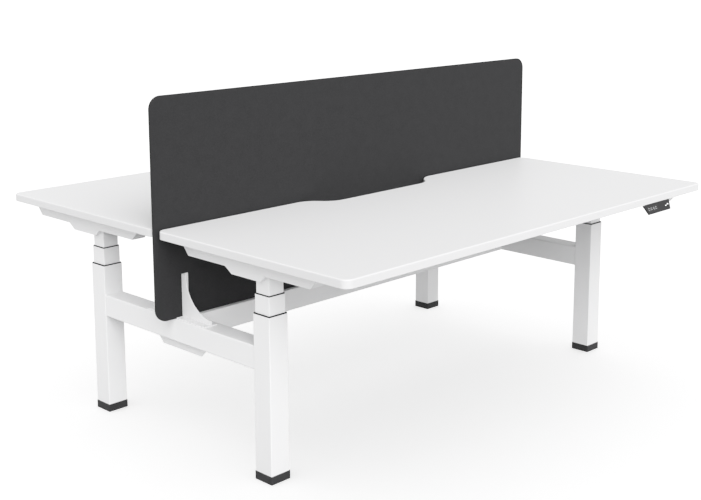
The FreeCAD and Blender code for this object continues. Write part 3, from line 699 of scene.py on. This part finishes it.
def handset_face(drop, reach):
    """Frame of the near handset's sloping face: across, up the face, out of it, with its middle as origin."""
    low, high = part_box("near_handset")
    slope = math.hypot(drop, reach)
    across = Vector((1.0, 0.0, 0.0))
    up = Vector((0.0, reach / slope, drop / slope))
    out = across.cross(up)
    middle = Vector(((low.x + high.x) / 2, low.y + reach / 2, high.z - drop / 2))
    place = Matrix((across, up, out)).transposed().to_4x4()
    place.translation = middle
    return place


def arrow_mark(name, width, rise, stroke, thick):
    """Chevron that points up, flat about the origin."""
    bpy.ops.object.select_all(action="DESELECT")
    bpy.ops.mesh.primitive_plane_add(size=1.0)
    mark = named_new(name)
    mark.scale = (width, stroke, 1.0)
    settle(mark)
    start_edit(mark)
    bpy.ops.mesh.select_all(action="SELECT")
    bpy.ops.mesh.bisect(plane_co=(0.0, 0.0, 0.0), plane_no=(1.0, 0.0, 0.0))
    pick_points(mark, lambda p: abs(p.x) < close)
    bpy.ops.transform.translate(value=(0.0, rise, 0.0))
    bpy.ops.mesh.select_all(action="SELECT")
    bpy.ops.transform.translate(value=(0.0, -rise / 2, 0.0))
    end_edit()
    raise_sheet(mark, thick)
    return mark


def segment(name, length, stroke, thick):
    """One pointed bar of a digit, along X about the origin."""
    bpy.ops.object.select_all(action="DESELECT")
    bpy.ops.mesh.primitive_circle_add(vertices=4, radius=stroke / 2, fill_type="NGON")
    bar = named_new(name)
    settle(bar)
    start_edit(bar)
    bpy.ops.mesh.select_all(action="SELECT")
    bpy.ops.mesh.bisect(plane_co=(0.0, 0.0, 0.0), plane_no=(1.0, 0.0, 0.0))
    pick_points(bar, lambda p: abs(p.x) < close)
    bpy.ops.mesh.bevel(offset=stroke / 8, affect="VERTICES")
    for sign in (-1.0, 1.0):
        pick_points(bar, lambda p, sign=sign: p.x * sign > close)
        bpy.ops.transform.translate(value=(sign * (length - stroke) / 2, 0.0, 0.0))
    end_edit()
    raise_sheet(bar, thick)
    return bar


# Lit bars of each digit: top, upper left, upper right, middle, lower left, lower right, bottom
lit_bars = {"0": "1110111", "1": "0010010", "2": "1011101", "3": "1011011", "4": "0111010",
            "5": "1101011", "6": "1101111", "7": "1010010", "8": "1111111", "9": "1111011"}


def readout_digits(name, text, width, height, pitch, stroke, thick):
    """Seven-bar digits in a row about the origin."""
    level = segment(name + "_level", width - stroke / 2, stroke, thick)
    tall = segment(name + "_tall", height / 2 - stroke / 4, stroke, thick)
    quarter = Matrix.Rotation(math.pi / 2, 4, "Z")
    side = width / 2
    spots = [(level, 0.0, height / 2), (tall, -side, height / 4), (tall, side, height / 4), (level, 0.0, 0.0),
             (tall, -side, -height / 4), (tall, side, -height / 4), (level, 0.0, -height / 2)]
    digits = [c for c in text if c in lit_bars]
    bars = []
    for k, digit in enumerate(digits):
        middle = (k - (len(digits) - 1) / 2) * pitch
        for lit, (bar, x, y) in zip(lit_bars[digit], spots):
            if lit == "1":
                place = Matrix.Translation((middle + x, y, 0.0))
                bars.append(another(bar, place @ quarter if bar is tall else place))
    if "." in text:
        gap = text.index(".") - len(digits) / 2
        dot = segment(name + "_dot", stroke, stroke, thick)
        bars.append(settle(dot, Matrix.Translation((gap * pitch, -height / 2, 0.0))))
    discard(level)
    discard(tall)
    return join(bars, name)


class DESK_OT_worktops(bpy.types.Operator):
    """Laminate for the two worktops"""

    bl_idname = "desk.worktops"
    bl_label = "Worktops"

    def execute(self, context):
        colours = context.scene.desk_finishes
        dress("worktop_laminate", laminate_finish(colours.laminate, colours.shaded_edge_band))
        return {"FINISHED"}


class DESK_OT_metalwork(bpy.types.Operator):
    """Powder coat for the legs, beams, arms, rails, brackets and hanger plate"""

    bl_idname = "desk.metalwork"
    bl_label = "Metalwork"

    def execute(self, context):
        dress("frame_paint", paint_finish(context.scene.desk_finishes.paint, "frame_paint"))
        return {"FINISHED"}


class DESK_OT_screen(bpy.types.Operator):
    """Felt screen with rounded corners and a softly cut edge"""

    bl_idname = "desk.screen"
    bl_label = "Felt screen"

    def execute(self, context):
        sizes = context.scene.desk_sizes
        colours = context.scene.desk_finishes
        low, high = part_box("screen_panel")
        size = high - low
        panel = rounded_plate("felt_screen", size.x, size.z, size.y, sizes.screen_corner, sizes.screen_ease,
                              screen_steps)
        upright = Matrix.Rotation(math.pi / 2, 4, "X")
        settle(panel, Matrix.Translation((low + high) / 2) @ upright)
        soften(panel, felt_smooth)
        felt = felt_finish(colours.felt_dark, colours.felt_light)
        put_on(panel, "frame", felt, "screen_panel")
        return {"FINISHED"}


class DESK_OT_mouldings(bpy.types.Operator):
    """Moulded feet, collars, sleeves and control boxes"""

    bl_idname = "desk.mouldings"
    bl_label = "Mouldings"

    def execute(self, context):
        colours = context.scene.desk_finishes
        dress("black_plastic", plastic_finish("black_plastic", colours.black, grain_scale=1500.0,
                                              low=0.45, high=0.58, gloss=0.22))
        dull = plastic_finish("collar_plastic", colours.collar, grain_scale=1500.0,
                              low=0.60, high=0.70, gloss=0.06)
        dress_node("outer_collars", dull)
        for desk in desks:
            dress_node(desk + "_middle_guides", dull)
        return {"FINISHED"}


class DESK_OT_gear(bpy.types.Operator):
    """Steel, acetal and cast finishes of the lifting gear"""

    bl_idname = "desk.gear"
    bl_label = "Lifting gear"

    def execute(self, context):
        colours = context.scene.desk_finishes
        dress("steel", steel_finish(colours.steel))
        dress("guide_plastic", acetal_finish(colours.acetal))
        dress("gearmotor_black", motor_finish(colours.motor))
        return {"FINISHED"}


class DESK_OT_bolts(bpy.types.Operator):
    """Button-head bolts and screws with hexagon sockets"""

    bl_idname = "desk.bolts"
    bl_label = "Bolts and screws"

    def execute(self, context):
        sizes = context.scene.desk_sizes
        colours = context.scene.desk_finishes
        painted = paint_finish(colours.paint, "white_fastener")
        plated = zinc_finish(colours.zinc)
        large = (sizes.frame_bolt_head, sizes.frame_bolt_height, sizes.frame_bolt_shank,
                 sizes.frame_bolt_socket)
        small = (sizes.screw_head, sizes.screw_height, sizes.screw_shank, sizes.screw_socket)
        bolts = [("frame_bolts", large, "frame", "white_fastener", painted),
                 ("screen_bolts", small, "frame", "white_fastener", painted)]
        bolts += [(desk + "_fixings", small, desk + "_top", "zinc_fastener", plated) for desk in desks]
        for node, measures, body, slot, material in bolts:
            put_on(set_bolts(node, *measures, sizes.bolt_sides), body, material, node)
        return {"FINISHED"}


class DESK_OT_handsets(bpy.types.Operator):
    """Handset shells and keys, with readouts and arrow marks"""

    bl_idname = "desk.handsets"
    bl_label = "Handsets"

    def execute(self, context):
        sizes = context.scene.desk_sizes
        colours = context.scene.desk_finishes
        dress("handset_plastic", plastic_finish("handset_plastic", colours.handset, grain_scale=1900.0,
                                                low=0.42, high=0.54, gloss=0.3))
        dress("key_plastic", plastic_finish("key_plastic", colours.key, grain_scale=2300.0,
                                            low=0.50, high=0.62, gloss=0.3))
        glass = window_finish(colours.window_dark, colours.window_light)
        lit = print_finish("readout_digits", colours.digits, colours.digits_glow)
        # The legend's glow is painted light on printed marks
        ink = print_finish("key_legend", colours.legend, colours.legend_painted_glow)
        face = handset_face(sizes.handset_drop, sizes.handset_reach)
        aside = Matrix.Translation((-sizes.window_offset, 0.0, 0.0))
        thick = sizes.mark_thick

        # Each window is sunk by half into its handset's face
        window_rise = 2 * thick
        for desk in desks:
            here = face if desk == "near" else half_turn @ face
            window = rounded_plate(desk + "_readout_window", sizes.window_width, sizes.window_height,
                                   2 * window_rise, sizes.window_corner, thick, window_steps)
            settle(window, here @ aside)
            put_on(window, desk + "_top", glass)
            digits = readout_digits(desk + "_readout_digits", sizes.readout, sizes.digit_width,
                                    sizes.digit_height, sizes.digit_pitch, sizes.digit_stroke, thick)
            settle(digits, here @ aside @ Matrix.Translation((0.0, 0.0, window_rise)))
            put_on(digits, desk + "_top", lit)
            for key, turn in (("up", 0.0), ("down", math.pi)):
                low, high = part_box("near_key_" + key)
                offset = (low.x + high.x) / 2 - face.translation.x
                spot = Matrix.Translation((offset, 0.0, sizes.key_proud)) @ Matrix.Rotation(turn, 4, "Z")
                spot = spot @ Matrix.Translation((0.0, sizes.mark_shift, 0.0))
                mark = arrow_mark(desk + "_" + key + "_mark", sizes.mark_width, sizes.mark_height,
                                  sizes.mark_stroke, thick)
                settle(mark, here @ spot)
                put_on(mark, desk + "_key_" + key, ink)
        return {"FINISHED"}


# The studio


def lay_floor(side, colour, glow):
    """Large level floor under the desk."""
    bpy.ops.object.select_all(action="DESELECT")
    bpy.ops.mesh.primitive_plane_add(size=side)
    floor = named_new("studio_floor")
    floor.data.materials.append(floor_finish(colour, glow))
    return floor


def raise_dome(low, high, low_end, high_start):
    """Light from all round: one brightness near the horizon, another overhead, and a ramp between them."""
    world = bpy.data.worlds.new("studio_dome")
    world.use_nodes = True
    tree = world.node_tree
    tree.nodes.clear()
    way = tree.nodes.new("ShaderNodeTexCoord")
    split = tree.nodes.new("ShaderNodeSeparateXYZ")
    ramp = tree.nodes.new("ShaderNodeMapRange")
    for socket, limit in (("From Min", low_end), ("From Max", high_start), ("To Min", low), ("To Max", high)):
        ramp.inputs[socket].default_value = limit
    light = tree.nodes.new("ShaderNodeBackground")
    light.inputs["Color"].default_value = (1.0, 1.0, 1.0, 1.0)
    output = tree.nodes.new("ShaderNodeOutputWorld")
    tree.links.new(way.outputs["Generated"], split.inputs["Vector"])
    tree.links.new(split.outputs["Z"], ramp.inputs["Value"])
    tree.links.new(ramp.outputs["Result"], light.inputs["Strength"])
    tree.links.new(light.outputs["Background"], output.inputs["Surface"])
    return world


def floor_reach(floor, rule):
    """What a light falls on: the floor alone, by INCLUDE, or all but the floor, by EXCLUDE."""
    reach = bpy.data.collections.new("floor_" + rule.lower())
    reach.objects.link(floor)
    for entry in reach.collection_objects:
        entry.light_linking.link_state = rule
    return reach


def add_sun(name, power, spread, way, reach):
    """Soft distant light with its own reach."""
    bpy.ops.object.light_add(type="SUN")
    lamp = bpy.context.object
    lamp.name = name
    lamp.data.energy = power
    lamp.data.angle = spread
    lamp.rotation_euler = Vector(way).to_track_quat("-Z", "Y").to_euler()
    lamp.light_linking.receiver_collection = reach


def print_tones(settings, white, shoulder):
    """Lets bright tones roll off softly up to white, as in a studio print."""
    settings.use_curve_mapping = True
    mapping = settings.curve_mapping
    mapping.white_level = (white, white, white)
    curve = mapping.curves[all_colours]
    for k in range(1, print_steps):
        share = k / print_steps
        curve.points.new(share, (1 - math.exp(-shoulder * share)) / (1 - math.exp(-shoulder)))
    mapping.update()


class DESK_OT_stage(bpy.types.Operator):
    """Pale floor, soft studio light and the camera"""

    bl_idname = "desk.stage"
    bl_label = "Studio"

    def execute(self, context):
        scene = context.scene
        studio = scene.desk_studio
        floor = lay_floor(studio.floor_size, studio.floor_colour, studio.floor_glow)
        scene.world = raise_dome(studio.sky_low, studio.sky_high, studio.sky_low_end, studio.sky_high_start)

        # The floor has a light of its own, and its glow stays off the desk
        desk_only = floor_reach(floor, "EXCLUDE")
        floor_only = floor_reach(floor, "INCLUDE")
        floor.light_linking.receiver_collection = floor_only
        add_sun("key_light", studio.key_power, studio.key_spread, studio.key_way, desk_only)
        add_sun("floor_light", studio.wash_power, studio.wash_spread, studio.wash_way, floor_only)

        bpy.ops.object.camera_add(location=studio.camera_place)
        camera = bpy.context.object
        camera.name = "photo_camera"
        camera.rotation_euler = (math.pi / 2 - studio.camera_pitch, 0.0, -studio.camera_yaw)
        camera.data.sensor_width = studio.sensor
        camera.data.lens = studio.lens
        camera.data.shift_x = studio.shift_right
        camera.data.shift_y = studio.shift_up
        camera.data.clip_end = 2 * studio.floor_size
        scene.camera = camera
        scene.view_settings.view_transform = "Standard"
        print_tones(scene.view_settings, studio.print_white, studio.print_shoulder)
        return {"FINISHED"}


steps = (DESK_OT_worktops, DESK_OT_metalwork, DESK_OT_screen, DESK_OT_mouldings, DESK_OT_gear, DESK_OT_bolts,
         DESK_OT_handsets, DESK_OT_stage)


class DESK_PT_sidebar(bpy.types.Panel):
    """Buttons for each group of pieces"""

    bl_idname = "DESK_PT_sidebar"
    bl_label = "Benching desk"
    bl_space_type = "VIEW_3D"
    bl_region_type = "UI"
    bl_category = "Desk"

    def draw(self, context):
        for step in steps:
            self.layout.operator(step.bl_idname)
        for group in (context.scene.desk_finishes, context.scene.desk_sizes, context.scene.desk_studio):
            box = self.layout.box()
            for name in group.__annotations__:
                box.prop(group, name)


groups = (("desk_finishes", DeskFinishes), ("desk_sizes", DeskSizes), ("desk_studio", DeskStudio))


def register():
    for name, group in groups:
        bpy.utils.register_class(group)
        setattr(bpy.types.Scene, name, PointerProperty(type=group))
    for step in steps:
        bpy.utils.register_class(step)
    bpy.utils.register_class(DESK_PT_sidebar)


def unregister():
    bpy.utils.unregister_class(DESK_PT_sidebar)
    for step in reversed(steps):
        bpy.utils.unregister_class(step)
    for name, group in reversed(groups):
        delattr(bpy.types.Scene, name)
        bpy.utils.unregister_class(group)


def main():
    register()
    bpy.ops.desk.worktops()
    bpy.ops.desk.metalwork()
    bpy.ops.desk.screen()
    bpy.ops.desk.mouldings()
    bpy.ops.desk.gear()
    bpy.ops.desk.bolts()
    bpy.ops.desk.handsets()
    bpy.ops.desk.stage()


if __name__ == "__main__":
    main()
